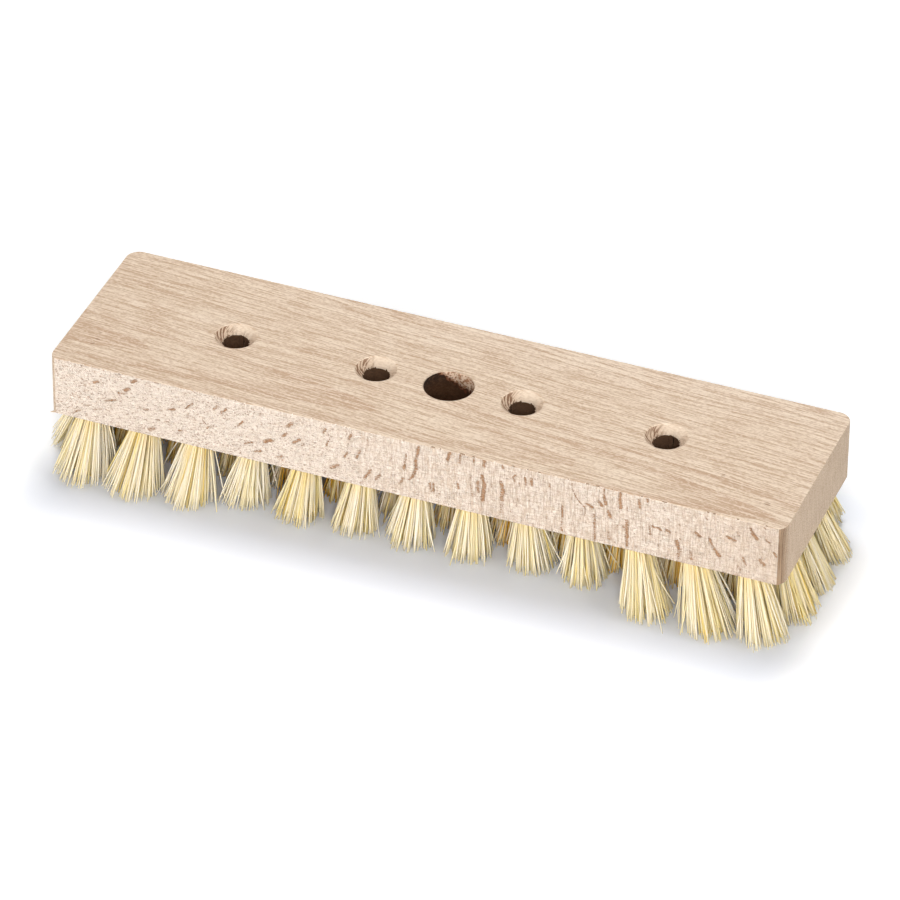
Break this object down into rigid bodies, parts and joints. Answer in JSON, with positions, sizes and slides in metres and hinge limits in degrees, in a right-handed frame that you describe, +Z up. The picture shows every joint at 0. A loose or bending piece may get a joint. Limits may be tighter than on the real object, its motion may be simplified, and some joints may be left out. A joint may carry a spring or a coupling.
{
  "type": "floor scrub brush",
  "caption": "Long rectangular wooden scrub brush head with countersunk fixing holes, a round handle hole and rows of stiff plant-fibre tufts.",
  "frame": {"origin": "middle of the footprint, on the floor that the tufts stand on", "axes": "+X along the block, +Y across it away from the pictured long side, +Z up out of the block's top face"},
  "size_m": [0.3123, 0.0977, 0.053],
  "materials": {
    "beech": "planed top, rough-sawn sides, raw",
    "plant_fibre": "raw stiff plant fibre, cut ends"
  },
  "bodies": {
    "root": {"beech_block": "beech", "tuft_front_01": "plant_fibre", "tuft_front_02": "plant_fibre", "tuft_front_03": "plant_fibre", "tuft_front_04": "plant_fibre", "tuft_front_05": "plant_fibre", "tuft_front_06": "plant_fibre", "tuft_front_07": "plant_fibre", "tuft_front_08": "plant_fibre", "tuft_front_09": "plant_fibre", "tuft_front_10": "plant_fibre", "tuft_front_11": "plant_fibre", "tuft_front_12": "plant_fibre", "tuft_front_13": "plant_fibre", "tuft_second_01": "plant_fibre", "tuft_second_02": "plant_fibre", "tuft_second_03": "plant_fibre", "tuft_second_04": "plant_fibre", "tuft_second_05": "plant_fibre", "tuft_second_06": "plant_fibre", "tuft_second_07": "plant_fibre", "tuft_second_08": "plant_fibre", "tuft_second_09": "plant_fibre", "tuft_second_10": "plant_fibre", "tuft_second_11": "plant_fibre", "tuft_second_12": "plant_fibre", "tuft_second_13": "plant_fibre", "tuft_second_14": "plant_fibre", "tuft_middle_01": "plant_fibre", "tuft_middle_02": "plant_fibre", "tuft_middle_03": "plant_fibre", "tuft_middle_04": "plant_fibre", "tuft_fourth_01": "plant_fibre", "tuft_fourth_02": "plant_fibre", "tuft_fourth_03": "plant_fibre", "tuft_fourth_04": "plant_fibre", "tuft_fourth_05": "plant_fibre", "tuft_fourth_06": "plant_fibre", "tuft_fourth_07": "plant_fibre", "tuft_fourth_08": "plant_fibre", "tuft_fourth_09": "plant_fibre", "tuft_fourth_10": "plant_fibre", "tuft_fourth_11": "plant_fibre", "tuft_fourth_12": "plant_fibre", "tuft_fourth_13": "plant_fibre", "tuft_fourth_14": "plant_fibre", "tuft_back_01": "plant_fibre", "tuft_back_02": "plant_fibre", "tuft_back_03": "plant_fibre", "tuft_back_04": "plant_fibre", "tuft_back_05": "plant_fibre", "tuft_back_06": "plant_fibre", "tuft_back_07": "plant_fibre", "tuft_back_08": "plant_fibre", "tuft_back_09": "plant_fibre", "tuft_back_10": "plant_fibre", "tuft_back_11": "plant_fibre", "tuft_back_12": "plant_fibre", "tuft_back_13": "plant_fibre"}
  },
  "joints": []
}
